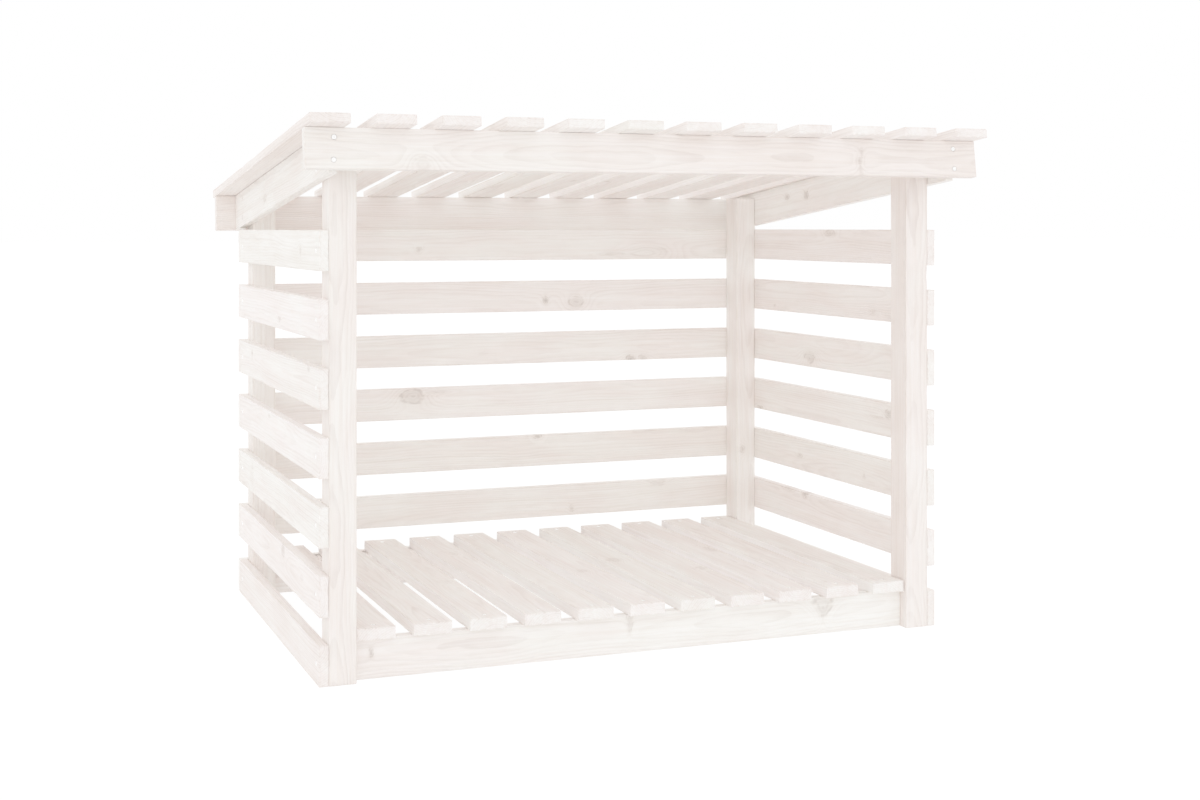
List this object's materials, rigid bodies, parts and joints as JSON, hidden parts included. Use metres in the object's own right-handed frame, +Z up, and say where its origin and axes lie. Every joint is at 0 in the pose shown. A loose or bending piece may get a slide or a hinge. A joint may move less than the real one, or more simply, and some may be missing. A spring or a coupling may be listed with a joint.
{
  "type": "open-fronted log store",
  "caption": "Open-fronted firewood shelter of white-washed pine boards: slatted walls and raised slatted floor on square posts, under a slatted lean-to roof.",
  "frame": {"origin": "on the ground, under the middle of the roof's plan", "axes": "+X to the right along the open front, +Y from the open front to the back, +Z up"},
  "size_m": [1.08, 0.73, 0.7901],
  "materials": {
    "posts": "thin white wash on planed pine",
    "wall_boards": "thin white wash on planed pine",
    "floor_boards": "thin white wash on planed pine",
    "roof_boards": "thin white wash on planed pine",
    "screws": "zinc-plated countersunk heads"
  },
  "bodies": {
    "root": {"front_left_post": "posts", "front_right_post": "posts", "back_left_post": "posts", "back_right_post": "posts", "left_wall_slats": "wall_boards", "right_wall_slats": "wall_boards", "back_wall_slats": "wall_boards", "front_floor_rail": "floor_boards", "back_floor_rail": "floor_boards", "floor_slat_1": "floor_boards", "floor_slat_2": "floor_boards", "floor_slat_3": "floor_boards", "floor_slat_4": "floor_boards", "floor_slat_5": "floor_boards", "floor_slat_6": "floor_boards", "floor_slat_7": "floor_boards", "floor_slat_8": "floor_boards", "floor_slat_9": "floor_boards", "floor_slat_10": "floor_boards", "floor_slat_11": "floor_boards", "left_rafter": "roof_boards", "right_rafter": "roof_boards", "front_roof_beam": "roof_boards", "back_roof_beam": "roof_boards", "roof_slat_1": "roof_boards", "roof_slat_2": "roof_boards", "roof_slat_3": "roof_boards", "roof_slat_4": "roof_boards", "roof_slat_5": "roof_boards", "roof_slat_6": "roof_boards", "roof_slat_7": "roof_boards", "roof_slat_8": "roof_boards", "roof_slat_9": "roof_boards", "roof_slat_10": "roof_boards", "roof_slat_11": "roof_boards", "roof_slat_12": "roof_boards"}
  },
  "joints": []
}
